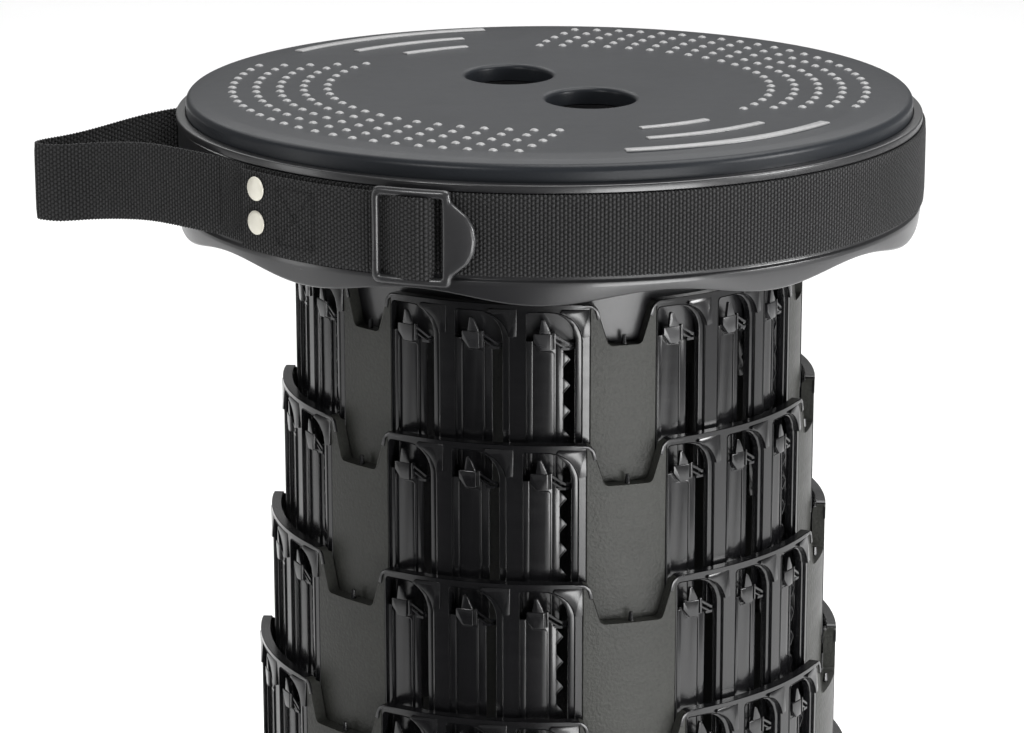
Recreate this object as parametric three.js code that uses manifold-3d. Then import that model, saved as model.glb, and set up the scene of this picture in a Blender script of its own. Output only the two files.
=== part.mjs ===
// Collapsible telescopic stool: a round seat on eight nested rings and a low base tray.
// Millimetres, +Z up, the front of the stool towards -Y. The stool is drawn pulled out.
import * as THREE from 'three';
import { mergeVertices } from 'three/addons/utils/BufferGeometryUtils.js';
import Module from 'manifold-3d';

const wasm = await Module();
wasm.setup();

// Rings
const RINGS = 8;             // telescoping rings, 1 under the seat to 8 in the base
const RING_R = 86.2;         // outer radius of ring 1
const RING_STEP = 4.6;       // each ring is this much larger in radius than the one above
const RING_WALL = 3;         // ring wall at the windows
const RUN_GAP = 0.4;         // room between a ring and the plain panels of the next one
const TRAVEL = 45.2;         // slide of each stage
const LUG_DROP = 15.2;       // a ring's top edge to the lowest point of the lugs inside it
const NOTCH_DEPTH = 14;      // cut-out in a ring's top edge over each plain panel
const GROUPS = 6;            // groups of windows round a ring, with a plain panel between
const WINDOWS = 3;           // windows in a group
const MODULE_SHARE = 23.5 / 86.2; // a window module's width, as a share of ring 1's radius
const PANEL_AT = 16;         // azimuth in degrees of the front panel's middle, towards +X
const GAP = 0.3;             // room left between pieces that touch
const FACE_W = 15;           // widest flat face on the inside of a ring's panels
const SIDES = 36;            // flat faces round the seat and the base
const FLATNESS = 0.005;      // points nearer than this to a straight edge are dropped

// Base
const PAD_T = 1.2;           // rubber pads under the base
const PAD_R = 8;
const PADS = 6;
const FLOOR_T = 3;           // base floor
const RIM_UP = 20.5;         // base rim above its floor

// Seat
const SKIRT_ROOM = 3.8;      // room between the largest ring and the seat's skirt
const SKIRT_T = 2.8;         // skirt wall, also the base wall
const WEB_T = 2.4;           // plate across the top of the seat tray
const COLLAR_T = 2.4;        // the tray's collar, which runs in ring 1
const RIB_H = 2.7;           // the cap's ribs stand this high on the web
const CAP_T = 2.8;           // the cap's top
const CAP_IN = 3;            // the cap's rim lies this far inside the skirt's outside
const CAP_ROUND = 4.2;       // the cap's edge round-over
const SCALLOPS = 10;         // waves round the lower edge of the skirt
const WAVE = 2.1;            // their height above and below the middle
const FINGER = { x: 13.5, y: -20.8, width: 29.6, length: 34.4, lip: 2.4 };

// Strap
const STRAP_W = 25.6;        // webbing width
const STRAP_T = 1.5;         // webbing thickness
const LAP_DROP = 1;          // its second layer lies this much lower
const LOOP_SAG = 4;          // the handle's free end hangs this much lower
const BUCKLE = { left: -25.5, right: -13.7, tab: 7.2, up: 1.5, down: 3.4, thick: 2.5 };

// Screws and rivets
const SCREW = { shank: 1.3, head: 3, headT: 1.4 };
const SCREWS = 3;
const BASE_SCREW = 12;       // screw lengths
const SEAT_SCREW = 7.6;
const SEAT_SCREW_AT = 58;    // circle of the screws that hold the cap
const RIVET = { dome: 3.9, domeT: 1.5, shank: 1.3, tail: 2.6, tailT: 0.8 };

// Worked out from them
const PANEL_WALL = RING_STEP - RUN_GAP;
const RING_H = TRAVEL + LUG_DROP;                // rings end level with the lugs they carry
const MODULE = MODULE_SHARE * RING_R;            // the same on every ring
const GROUP_W = WINDOWS * MODULE;
const UNDERSIDE = PAD_T + GAP;
const FLOOR_TOP = UNDERSIDE + FLOOR_T;
const RING_FOOT = FLOOR_TOP + GAP;               // bottom of every ring when folded
const ringR = (i) => RING_R + RING_STEP * (i - 1);
const ringTop = (i) => RING_FOOT + RING_H + TRAVEL * (RINGS - i);
const COLLAR_R = ringR(0);
const SKIRT_IN = ringR(RINGS) + SKIRT_ROOM;
const SEAT_R = SKIRT_IN + SKIRT_T;
const FACE_IN = Math.cos(Math.PI / SIDES);       // a flat face's middle as a share of the radius
const rad = THREE.MathUtils.degToRad;

// Heights on the seat are counted from the top edge of ring 1
const SEAT_Z = ringTop(1);
const WEB_UNDER = TRAVEL + 2 * GAP;
const WEB_TOP = WEB_UNDER + WEB_T;
const CAP_FOOT = WEB_TOP + GAP;
const CAP_UNDER = CAP_FOOT + RIB_H;
const CAP_TOP = CAP_UNDER + CAP_T;
const RIM_Z = WEB_UNDER + 0.1;                   // the skirt's top edge
const BELT_TOP = RIM_Z - 1.4;
const BELT_FOOT = BELT_TOP - STRAP_W;
const GROOVE_R = SEAT_R - 0.6;                   // the strap lies in a shallow groove
const LEDGE_Z = BELT_FOOT - 1.7;
const BELT_R = GROOVE_R + GAP + STRAP_T / 2;     // middle of the webbing on the skirt
const LAP_R = BELT_R + STRAP_T + GAP;            // middle of its second layer
const BUCKLE_R = LAP_R + STRAP_T / 2 + GAP;      // back of the buckle

// Materials
const plastic = (color, roughness) => new THREE.MeshStandardMaterial({ color, roughness });
const capPlastic = plastic(0x35383b, 0.46);
const trayPlastic = plastic(0x232426, 0.36);
const ringPlastic = plastic(0x1c1c1e, 0.3);
const bucklePlastic = plastic(0x2d2d2f, 0.42);
const webbing = plastic(0x17181a, 0.92);
const rubber = plastic(0x141414, 0.85);
const steel = new THREE.MeshStandardMaterial({ color: 0xc9c7bd, roughness: 0.35, metalness: 0.85 });

// Closed geometry to a solid, facing out whichever way round it was drawn.
function toSolid(geometry) {
  const bare = geometry.clone();
  bare.deleteAttribute('normal');
  bare.deleteAttribute('uv');
  const merged = mergeVertices(bare, 1e-5);
  const position = merged.attributes.position;
  const corner = [0, 1, 2].map(() => new THREE.Vector3());
  const triangles = [];
  let volume = 0;
  for (let t = 0; t < merged.index.count; t += 3) {
    const [a, b, c] = [0, 1, 2].map((k) => merged.index.getX(t + k));
    if (a === b || b === c || c === a) continue;
    triangles.push(a, b, c);
    [a, b, c].forEach((v, k) => corner[k].fromBufferAttribute(position, v));
    volume += corner[0].dot(corner[1].cross(corner[2]));
  }
  if (volume < 0) triangles.reverse();
  return new wasm.Manifold(new wasm.Mesh({
    numProp: 3,
    vertProperties: new Float32Array(position.array),
    triVerts: new Uint32Array(triangles),
  }));
}

function toGeometry(solid) {
  const mesh = solid.asOriginal().simplify(FLATNESS).getMesh();
  const geometry = new THREE.BufferGeometry();
  geometry.setAttribute('position', new THREE.BufferAttribute(mesh.vertProperties, 3));
  geometry.setIndex(new THREE.BufferAttribute(mesh.triVerts, 1));
  const flat = geometry.toNonIndexed();
  flat.computeVertexNormals();
  return flat;
}

const join = (solids) => wasm.Manifold.union(solids);

// A point of the plan at distance r towards azimuth a, counted from the front towards +X,
// and u to the right of that.
const plan = (r, a, u = 0) => (
  new THREE.Vector2(r * Math.sin(a) + u * Math.cos(a), u * Math.sin(a) - r * Math.cos(a))
);

// A plan outline pulled up from z0 to z1.
function extrude(shape, z0, z1) {
  const geometry = new THREE.ExtrudeGeometry(shape, { depth: z1 - z0, bevelEnabled: false });
  return geometry.translate(0, 0, z0);
}

// A profile of (radius, z) points turned about the Z axis.
function revolve(points, segments) {
  const profile = points.map(([r, z]) => new THREE.Vector2(r, z));
  return new THREE.LatheGeometry(profile, segments).rotateX(Math.PI / 2);
}

// A solid between two like rings of points, capped by the triangles of a flat outline.
function bridge(flat, near, far) {
  if (THREE.ShapeUtils.isClockWise(flat)) [flat, near, far].forEach((ring) => ring.reverse());
  const n = flat.length;
  const position = [...near, ...far].flatMap((p) => p.toArray());
  const index = [];
  for (const [i, j, k] of THREE.ShapeUtils.triangulateShape(flat, [])) {
    index.push(i, k, j, n + i, n + j, n + k);
  }
  for (let i = 0; i < n; i += 1) {
    const j = (i + 1) % n;
    index.push(i, j, n + j, i, n + j, n + i);
  }
  const geometry = new THREE.BufferGeometry();
  geometry.setAttribute('position', new THREE.Float32BufferAttribute(position, 3));
  geometry.setIndex(index);
  return toSolid(geometry);
}

// An outline of (u, z) points that faces azimuth a, made solid from distance d0 to d1
// from the stool's axis.
function facing(outline, a, d0, d1) {
  const shape = new THREE.Shape(outline.map(([u, z]) => new THREE.Vector2(u, z)));
  return toSolid(extrude(shape, d0, d1).rotateX(Math.PI / 2).rotateZ(a));
}

// One window module, u from its middle, z from the ring's top edge. A lug rests over the
// plate when the stage is pulled out and slides down in front of it.
const OPENING = { from: 1.2, to: 17 };           // from the module's left edge
const HALF = (OPENING.to - OPENING.from) / 2;
const PLATE = { right: 1.6, sunk: 2, top: 3 - LUG_DROP };
const ARCH = { crown: 12.3 - LUG_DROP, steps: 2, start: -0.5 };
const HEAD = { left: -5.6, right: 1.5, thick: 1.4, low: 3 - LUG_DROP };
const SHOULDER = 5.6 - LUG_DROP;
const TIP = 10.8 - LUG_DROP;

// The opening that a lug looks out of: the space over the plate and the slot beside it,
// closed above by a quarter arch.
function windowOutline(foot) {
  const { crown, steps, start } = ARCH;
  const outline = [[HALF, foot]];
  for (let k = 0; k <= steps; k += 1) {
    const t = (k / steps) * Math.PI / 2;
    outline.push([
      start + (HALF - start) * Math.cos(t),
      PLATE.top + (crown - PLATE.top) * Math.sin(t),
    ]);
  }
  outline.push([-HALF, crown], [-HALF, PLATE.top], [PLATE.right, PLATE.top], [PLATE.right, foot]);
  return outline;
}

// The plate is sunk into the wall, so that lugs pass in front of it.
const recessOutline = (foot) => [
  [-HALF, foot], [PLATE.right + 1, foot], [PLATE.right + 1, PLATE.top], [-HALF, PLATE.top],
];

const groupMiddles = Array.from(
  { length: GROUPS },
  (_, g) => rad(PANEL_AT + 360 / GROUPS * (g + 0.5)),
);

function eachModule(visit) {
  for (const middle of groupMiddles) {
    for (let k = 0; k < WINDOWS; k += 1) {
      visit(middle, k * MODULE - GROUP_W / 2 + OPENING.from + HALF);
    }
  }
}

// The lugs that the wall of radius inner carries into the windows of the ring round it:
// a pointed head in front of the window's plate, and a brace through the slot.
function lugs(inner) {
  const outer = inner + RING_STEP;
  const face = outer - GAP;
  const back = face - HEAD.thick;
  const { left, right, low } = HEAD;
  const foot = -LUG_DROP;
  const solids = [];
  eachModule((middle, at) => {
    const root = (u) => plan(inner - 0.6, middle + (at + HALF + u) / inner);
    const head = (u, d) => plan(d, middle + at / outer, u);
    const corners = [
      { p: root(0.3), z0: foot, z1: foot + 2.6 },
      { p: root(1.3), z0: foot, z1: foot + 2.6 },
      { p: head(right, face), z0: foot, z1: SHOULDER },
      { p: head(left, face), z0: low, z1: TIP },
      { p: head(left, back), z0: low, z1: TIP },
      { p: head(right + 0.6, back), z0: foot, z1: SHOULDER },
    ];
    const flat = corners.map(({ p }) => p);
    const level = (key) => corners.map((c) => new THREE.Vector3(c.p.x, c.p.y, c[key]));
    solids.push(bridge(flat, level('z0'), level('z1')));
  });
  return join(solids);
}

// The ring's plan: thin walls at the windows, thicker ones that guide at the panels. Each
// window lies in one flat face of it.
function ringPlan(R) {
  const panelW = 2 * Math.PI * R / GROUPS - GROUP_W;
  const outer = [];
  const inner = [];
  for (const middle of groupMiddles) {
    const at = (r, u) => plan(r, middle + (u - GROUP_W / 2) / R);
    for (let k = 0; k < WINDOWS; k += 1) {
      const a = middle + (k * MODULE - GROUP_W / 2 + OPENING.from + HALF) / R;
      for (const u of [-HALF, HALF]) {
        outer.push(plan(Math.sqrt(R * R - u * u), a, u));
        inner.push(plan(Math.sqrt((R - RING_WALL) ** 2 - u * u), a, u));
      }
    }
    const border = MODULE - OPENING.to;
    const bare = border + panelW + OPENING.from;
    const faces = Math.ceil(bare / FACE_W / 1.4);
    for (let j = 1; j < faces; j += 1) {
      outer.push(at(R, GROUP_W - border + bare * j / faces));
    }
    const pieces = Math.ceil(panelW / FACE_W);
    for (let j = 0; j <= pieces; j += 1) {
      inner.push(at(R - PANEL_WALL, GROUP_W + panelW * j / pieces));
    }
  }
  const shape = new THREE.Shape(outer);
  shape.holes.push(new THREE.Path(inner));
  return shape;
}

// The shallow trapezoid cut out of the top edge over a plain panel.
function notchOutline(panelW) {
  const half = panelW / 2;
  const side = [[half + 0.4, 1], [half - 4.4, -NOTCH_DEPTH]];
  return [...side, ...side.map(([u, z]) => [-u, z]).reverse()];
}

function ring(i) {
  const R = ringR(i);
  const foot = -RING_H - 1;
  const panelW = 2 * Math.PI * R / GROUPS - GROUP_W;
  const cuts = [];
  eachModule((middle, at) => {
    const a = middle + at / R;
    cuts.push(facing(windowOutline(foot), a, R - RING_WALL - 1.5, R + 1));
    cuts.push(facing(recessOutline(foot), a, R - PLATE.sunk, R + 1));
  });
  for (const middle of groupMiddles) {
    cuts.push(facing(notchOutline(panelW), middle + rad(180 / GROUPS), 0.9 * R, R + 1));
  }
  const wall = toSolid(extrude(ringPlan(R), -RING_H, 0)).subtract(join(cuts));
  if (i < RINGS) return join([wall, lugs(R).translate(0, 0, -TRAVEL)]);
  return join([wall, ...footBosses(R)]).subtract(join(screwAzimuths.map(footPilot)));
}

// What ties ring 8 to the base: screws up through the floor into bosses on three panels.
const screwAzimuths = Array.from({ length: SCREWS }, (_, k) => rad(PANEL_AT + 360 / SCREWS * k));
const BASE_SCREW_AT = ringR(RINGS) + 0.6;
const BOSS_H = BASE_SCREW + 2;

function footBosses(R) {
  const boss = [[-5.5, -RING_H], [5.5, -RING_H], [4.5, BOSS_H - RING_H], [-4.5, BOSS_H - RING_H]];
  return screwAzimuths.map((a) => facing(boss, a, R - 1, SKIRT_IN - 2 * GAP));
}

// A round hole for a screw's shank, centred on p.
function shankHole(p, z0, z1) {
  const radius = SCREW.shank + GAP;
  return toSolid(revolve([[0, z0], [radius, z0], [radius, z1], [0, z1]], 8).translate(p.x, p.y, 0));
}

const footPilot = (a) => (
  shankHole(plan(BASE_SCREW_AT, a), -RING_H - 1, BASE_SCREW - 2.4 - RING_H)
);

// A screw standing on its head at z = 0.
function screw(length) {
  const { shank, head, headT } = SCREW;
  return toSolid(revolve([
    [0, 0], [head, 0], [head, headT], [shank, headT], [shank, length - 1], [0, length],
  ], 8));
}

const HEAD_SINK = 1.9;       // counterbore for a base screw's head

function base() {
  const rim = FLOOR_TOP + RIM_UP;
  const inside = SEAT_R - SKIRT_T + 0.2;
  const shell = revolve([
    [0, UNDERSIDE], [SEAT_R - 1, UNDERSIDE], [SEAT_R, UNDERSIDE + 1], [SEAT_R, rim],
    [inside, rim], [inside, FLOOR_TOP], [0, FLOOR_TOP],
  ], SIDES);
  const seat = SCREW.head + 0.4;
  const holes = screwAzimuths.flatMap((a) => {
    const p = plan(BASE_SCREW_AT, a);
    const sink = revolve([
      [0, 0], [seat, 0], [seat, UNDERSIDE + HEAD_SINK], [0, UNDERSIDE + HEAD_SINK],
    ], 12);
    return [shankHole(p, 0, FLOOR_TOP + 1), toSolid(sink.translate(p.x, p.y, 0))];
  });
  return toSolid(shell).subtract(join(holes));
}

// Seat

function ellipse(grow, side) {
  const shape = new THREE.Shape();
  const { x, y, width, length } = FINGER;
  shape.absellipse(side * x, side * y, width / 2 + grow, length / 2 + grow, 0, 2 * Math.PI);
  return new THREE.Shape(shape.getPoints(12).slice(0, -1));
}

const fingerHoles = (grow, z0, z1) => (
  join([-1, 1].map((side) => toSolid(extrude(ellipse(grow, side), z0, z1))))
);

const seatScrews = Array.from(
  { length: SCREWS },
  (_, k) => plan(SEAT_SCREW_AT, rad(PANEL_AT - 120 + 360 / SCREWS * k)),
);

// The lower edge of the skirt rises and falls.
const SKIRT_FOOT = LEDGE_Z - 5.9;
const scallop = (a) => SKIRT_FOOT + WAVE * Math.cos(SCALLOPS * (a - rad(PANEL_AT)));

function tray() {
  const shelf = SEAT_R - CAP_IN + 0.1;
  const neck = shelf - 2;
  const shell = revolve([
    [0, WEB_TOP], [neck, WEB_TOP], [neck, RIM_Z], [SEAT_R, RIM_Z], [GROOVE_R, RIM_Z - 1],
    [GROOVE_R, LEDGE_Z], [SEAT_R, LEDGE_Z - 0.6], [SEAT_R, SKIRT_FOOT], [SKIRT_IN, SKIRT_FOOT],
    [SKIRT_IN, RIM_Z - 2.5], [neck - 0.6, WEB_UNDER], [COLLAR_R, WEB_UNDER],
    [COLLAR_R, -LUG_DROP], [COLLAR_R - COLLAR_T, -LUG_DROP], [COLLAR_R - COLLAR_T, WEB_UNDER],
    [0, WEB_UNDER],
  ], SIDES);
  const position = shell.attributes.position;
  for (let v = 0; v < position.count; v += 1) {
    const a = Math.atan2(position.getX(v), -position.getY(v));
    if (Math.abs(position.getZ(v) - SKIRT_FOOT) < 1e-4) position.setZ(v, scallop(a));
  }
  const cuts = [fingerHoles(0, WEB_UNDER - 1, WEB_TOP + 1)];
  cuts.push(...seatScrews.map((p) => shankHole(p, WEB_UNDER - 1, WEB_TOP + 1)));
  cuts.push(...rivetPlaces.map(([a, z]) => rivetHole(a, z)));
  return join([toSolid(shell), lugs(COLLAR_R)]).subtract(join(cuts));
}

// Raised lines on the seat: arcs of radius r, each to half an angle either side of two
// opposite azimuths.
const RELIEF = { at: 31, width: 2, up: 0.5, arcs: [[106.5, 21.5], [91, 13.4], [76, 10.4]] };

function seatLines() {
  const { at, width, up, arcs } = RELIEF;
  return [at, at + 180].flatMap((azimuth) => arcs.map(([r, spread]) => {
    const steps = Math.ceil(spread / 4);
    const side = (radius, turn) => Array.from({ length: steps + 1 }, (_, k) => (
      plan(radius, rad(azimuth + turn * spread * (2 * k / steps - 1)))
    ));
    const shape = new THREE.Shape([...side(r + width / 2, 1), ...side(r - width / 2, -1)]);
    return toSolid(extrude(shape, CAP_TOP - 0.5, CAP_TOP + up));
  }));
}

function cap() {
  const r = SEAT_R - CAP_IN;
  const wall = 1.7;
  const foot = RIM_Z + GAP;
  const shell = revolve([
    [0, CAP_UNDER], [r - wall - 2.8, CAP_UNDER], [r - wall - 2.8, CAP_FOOT], [r - wall, CAP_FOOT],
    [r - wall, foot], [r, foot], [r, CAP_TOP - 0.7 * CAP_ROUND],
    [r - 0.3 * CAP_ROUND, CAP_TOP - 0.22 * CAP_ROUND],
    [r - CAP_ROUND, CAP_TOP], [0, CAP_TOP],
  ], SIDES);
  const lips = fingerHoles(FINGER.lip, CAP_FOOT, CAP_UNDER + 1);
  const bosses = seatScrews.map(({ x, y }) => (
    toSolid(new THREE.CylinderGeometry(3.4, 3.4, RIB_H + 1, 8).rotateX(Math.PI / 2)
      .translate(x, y, CAP_FOOT + (RIB_H + 1) / 2))
  ));
  const whole = join([toSolid(shell), lips, ...bosses, ...seatLines()]);
  const pilots = seatScrews.map((p) => shankHole(p, CAP_FOOT - 1, CAP_UNDER + 1));
  return whole.subtract(join([fingerHoles(0, CAP_FOOT - 1, CAP_TOP + 1), ...pilots]));
}

// Strap

// A strip of webbing whose middle follows plan points, closed or with two ends.
function strip(points, closed) {
  const half = STRAP_T / 2;
  const n = points.length;
  const side = (sign) => points.map((p, k) => {
    const before = closed || k > 0 ? points[(k - 1 + n) % n] : p;
    const after = closed || k < n - 1 ? points[(k + 1) % n] : p;
    const along = after.clone().sub(before).normalize();
    return new THREE.Vector2(p.x + sign * half * along.y, p.y - sign * half * along.x);
  });
  if (!closed) return new THREE.Shape([...side(1), ...side(-1).reverse()]);
  const shape = new THREE.Shape(side(1));
  shape.holes.push(new THREE.Path(side(-1)));
  return shape;
}

const arcPoints = (r, from, to, steps) => Array.from({ length: steps + 1 }, (_, k) => (
  plan(r, rad(from + (to - from) * k / steps))
));

// The strap is one closed band. It hugs the skirt but for its slack, the carrying handle.
function belt() {
  const face = 360 / SIDES;
  const hug = arcPoints(BELT_R, -5 * face, 25 * face, 30);
  const slack = [[1, 10], [15, 0.5], [28, -10], [41, -20.5], [44.4, -27], [38.5, -31],
    [25, -34], [10, -43.5], [-4.5, -55]].map(([out, y]) => new THREE.Vector2(-SEAT_R - out, y));
  const loop = new THREE.SplineCurve(slack).getPoints(20);
  const handle = [plan(BELT_R, rad(257)), ...loop, plan(BELT_R, rad(-57))];
  const band = extrude(strip([...hug, ...handle], true), BELT_FOOT, BELT_TOP);
  const position = band.attributes.position;
  for (let v = 0; v < position.count; v += 1) {
    const out = THREE.MathUtils.smoothstep(-position.getX(v), SEAT_R, SEAT_R + 40);
    position.setZ(v, position.getZ(v) - LOOP_SAG * out);
  }
  return toSolid(band).subtract(join(rivetPlaces.map(([a, z]) => rivetHole(a, z))));
}

// The strap's second layer runs from the rivets to the buckle, up over its middle bar and
// back under it.
function lap() {
  const over = BUCKLE_R + BUCKLE.thick + 1;
  const path = [
    ...arcPoints(LAP_R, -50, -23.9, 6),
    plan(LAP_R + 2.1, rad(-22.3)), plan(over - 0.5, rad(-20.4)), plan(over, rad(-18.3)),
    plan(over - 0.7, rad(-17)), plan(LAP_R + 2.1, rad(-16.6)), plan(LAP_R + 0.5, rad(-17.1)),
    plan(LAP_R, rad(-18.4)),
  ];
  const foot = BELT_FOOT - LAP_DROP;
  const band = toSolid(extrude(strip(path, false), foot, foot + STRAP_W));
  return band.subtract(join(rivetPlaces.map(([a, z]) => rivetHole(a, z))));
}

function buckle() {
  const { left, right, tab, up, down, thick } = BUCKLE;
  const r0 = BUCKLE_R;
  const middle = rad((left + right) / 2);
  const half = rad(right - left) / 2 * r0;
  const low = BELT_FOOT - down;
  const high = BELT_TOP + up;
  const round = 2;
  const outline = [
    [-half, low + round], [-half + round, low], [half - round, low], [half, low + round],
  ];
  const centre = (low + high) / 2;
  for (let k = 0; k <= 6; k += 1) {
    const t = Math.PI * (k / 6 - 0.5);
    outline.push([half + tab * Math.cos(t) ** 0.8, centre + 12.5 * Math.sin(t)]);
  }
  outline.push([half, high - round], [half - round, high], [round - half, high]);
  outline.push([-half, high - round]);
  const slotLeft = -half + 2.6;
  const slotRight = half - 3;
  const slotLow = BELT_FOOT - LAP_DROP - GAP;
  const slotHigh = slotLow + STRAP_W + 2 * GAP;
  const slot = [
    [slotLeft, slotLow], [slotRight, slotLow], [slotRight, slotHigh], [slotLeft, slotHigh],
  ];
  const frame = facing(outline, middle, r0, r0 + thick)
    .subtract(facing(slot, middle, r0 - 1, r0 + thick + 1));
  const barAt = rad(-18.3) - middle;
  const bar = [
    [barAt * r0 - 2, low + 1], [barAt * r0 + 2, low + 1],
    [barAt * r0 + 2, high - 1], [barAt * r0 - 2, high - 1],
  ];
  return join([frame, facing(bar, middle, r0, r0 + thick - 0.3)]);
}

// Two rivets hold the lap, the belt and the skirt together.
const RIVET_AZIMUTH = rad(-46.5);
const RIVETS_UP = [0.336, 0.762];  // shares of the strap's width, from its lower edge
const rivetPlaces = RIVETS_UP.map((up) => [RIVET_AZIMUTH, BELT_FOOT + up * STRAP_W]);

// A solid drawn up the Z axis, laid along the radius at azimuth a with its foot at radius r.
const outward = (solid, a, r, z) => (
  solid.rotate(90, 0, 0).translate(0, -r, z).rotate(0, 0, THREE.MathUtils.radToDeg(a))
);

function rivetHole(a, z) {
  const hole = shankHole(new THREE.Vector2(0, 0), 0, LAP_R + 3 - SKIRT_IN + 3);
  return outward(hole, a, SKIRT_IN - 3, z);
}

function rivet(a, z) {
  const { dome, domeT, shank, tail, tailT } = RIVET;
  const inside = SKIRT_IN * FACE_IN - GAP;
  const foot = LAP_R + STRAP_T / 2 + GAP - inside + tailT;
  const body = toSolid(revolve([
    [0, 0], [tail, 0], [tail, tailT], [shank, tailT], [shank, foot], [dome, foot],
    [dome * 0.7, foot + domeT * 0.75], [0, foot + domeT],
  ], 10));
  return outward(body, a, inside - tailT, z);
}

function pad() {
  return toSolid(revolve([[0, 0], [PAD_R, 0], [PAD_R, PAD_T], [0, PAD_T]], 12));
}

// Assembly
const stool = new THREE.Group();
const seat = new THREE.Group();
const stand = new THREE.Group();
seat.position.z = SEAT_Z;
stool.add(seat, stand);

function add(group, name, solid, material, x = 0, y = 0, z = 0) {
  const mesh = new THREE.Mesh(toGeometry(solid), material);
  mesh.name = name;
  mesh.position.set(x, y, z);
  group.add(mesh);
}

add(seat, 'seat_cap', cap(), capPlastic);
add(seat, 'seat_tray', tray(), trayPlastic);
add(seat, 'strap_belt', belt(), webbing);
add(seat, 'strap_lap', lap(), webbing);
add(seat, 'buckle', buckle(), bucklePlastic);
add(seat, 'rivet_lower', rivet(...rivetPlaces[0]), steel);
add(seat, 'rivet_upper', rivet(...rivetPlaces[1]), steel);
seatScrews.forEach(({ x, y }, k) => {
  add(seat, `seat_screw_${k + 1}`, screw(SEAT_SCREW), steel, x, y, WEB_UNDER - GAP - SCREW.headT);
});

for (let i = 1; i <= RINGS; i += 1) {
  add(stand, `ring_${i}`, ring(i), ringPlastic, 0, 0, ringTop(i));
}
add(stand, 'base_tray', base(), trayPlastic);
screwAzimuths.forEach((a, k) => {
  const p = plan(BASE_SCREW_AT, a);
  const z = UNDERSIDE + HEAD_SINK - GAP - SCREW.headT;
  add(stand, `base_screw_${k + 1}`, screw(BASE_SCREW), steel, p.x, p.y, z);
});
add(stand, 'foot_pad_middle', pad(), rubber);
for (let k = 0; k < PADS; k += 1) {
  const p = plan(SEAT_R - 16, rad(PANEL_AT + 360 / PADS * (k + 0.5)));
  add(stand, `foot_pad_${k + 1}`, pad(), rubber, p.x, p.y);
}

export default stool;
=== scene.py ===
# Collapsible telescopic stool: its looks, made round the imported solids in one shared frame.
# Pieces are drawn in millimetres and made metres as each is finished. The front is -Y.
import math

import bmesh
import bpy
from mathutils import Matrix, Vector


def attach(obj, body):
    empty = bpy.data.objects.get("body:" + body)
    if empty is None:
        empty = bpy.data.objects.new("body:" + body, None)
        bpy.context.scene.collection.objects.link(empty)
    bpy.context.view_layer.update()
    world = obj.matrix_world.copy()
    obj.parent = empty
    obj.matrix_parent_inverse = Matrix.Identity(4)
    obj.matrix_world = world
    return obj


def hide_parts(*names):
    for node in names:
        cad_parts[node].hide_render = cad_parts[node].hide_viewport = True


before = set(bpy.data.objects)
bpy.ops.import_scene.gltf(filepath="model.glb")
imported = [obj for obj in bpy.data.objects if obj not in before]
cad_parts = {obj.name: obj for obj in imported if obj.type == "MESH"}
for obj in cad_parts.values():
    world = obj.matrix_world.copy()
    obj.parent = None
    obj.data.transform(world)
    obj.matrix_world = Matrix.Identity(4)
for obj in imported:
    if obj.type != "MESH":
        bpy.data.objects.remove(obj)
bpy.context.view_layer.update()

# Base tray: the low round dish that the folded stool packs into. Black moulded plastic with
# a fine grain, its rim rounded over and three screws sunk into its underside. The photograph
# stops above it, so its shape is the usual one.
MM = 0.001
SEAT_R = 125  # the seat's skirt and the base are equally wide
PANEL_AT = 16  # azimuth of the front panel's middle, which the screws line up with
GAP = 0.3  # room left between neighbouring pieces
PAD_T = 1.2
UNDERSIDE = PAD_T + GAP
FLOOR_TOP = UNDERSIDE + 3
BASE_TOP = 25
BASE_IN = SEAT_R - 2.6
SCREW_HOLE, HEAD_HOLE = 1.6, 3.4
BASE_SCREWS = [(119.0, PANEL_AT + 120 * k) for k in range(3)]  # radius and azimuth


class Signal:
    """A socket of a material's nodes. Sums on it add Math nodes to the same material."""

    def __init__(self, socket):
        self.socket = socket

    def node(self, kind, settings, sockets, output=0):
        tree = self.socket.id_data
        made = tree.nodes.new(kind)
        for name, value in settings.items():
            setattr(made, name, value)
        for name, value in sockets.items():
            if isinstance(value, Signal):
                tree.links.new(value.socket, made.inputs[name])
            else:
                made.inputs[name].default_value = value
        return Signal(made.outputs[output])

    def maths(self, operation, first, second=0.0):
        return self.node("ShaderNodeMath", {"operation": operation}, {0: first, 1: second})

    def __add__(self, other):
        return self.maths("ADD", self, other)

    def __sub__(self, other):
        return self.maths("SUBTRACT", self, other)

    def __rsub__(self, other):
        return self.maths("SUBTRACT", other, self)

    def __mul__(self, other):
        return self.maths("MULTIPLY", self, other)

    __radd__, __rmul__ = __add__, __mul__

    def axis(self, number):
        """One of the three parts of a vector."""
        return self.node("ShaderNodeSeparateXYZ", {}, {0: self}, number)

    def noise(self, scale, detail=2.0, stretch=(1, 1, 1)):
        placed = self.node("ShaderNodeMapping", {}, {"Vector": self, "Scale": stretch})
        return self.node(
            "ShaderNodeTexNoise", {}, {"Vector": placed, "Scale": scale, "Detail": detail}
        )

    def mix(self, dark, light):
        return self.node(
            "ShaderNodeMix", {"data_type": "RGBA"}, {0: self, 6: (*dark, 1), 7: (*light, 1)}, 2
        )

    def relief(self, height, strength=1.0):
        """Bumps of so many millimetres."""
        return self.node(
            "ShaderNodeBump", {}, {"Height": self, "Distance": height * MM, "Strength": strength}
        )


def finish(name, coordinates="Object", **sockets):
    """A new material: its first coordinates, its shader's inputs, and itself."""
    material = bpy.data.materials.new(name)
    material.use_nodes = True
    nodes = material.node_tree.nodes
    shader = nodes["Principled BSDF"]
    for socket, value in sockets.items():
        shader.inputs[socket.replace("_", " ")].default_value = value
    return Signal(nodes.new("ShaderNodeTexCoord").outputs[coordinates]), shader, material


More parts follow.
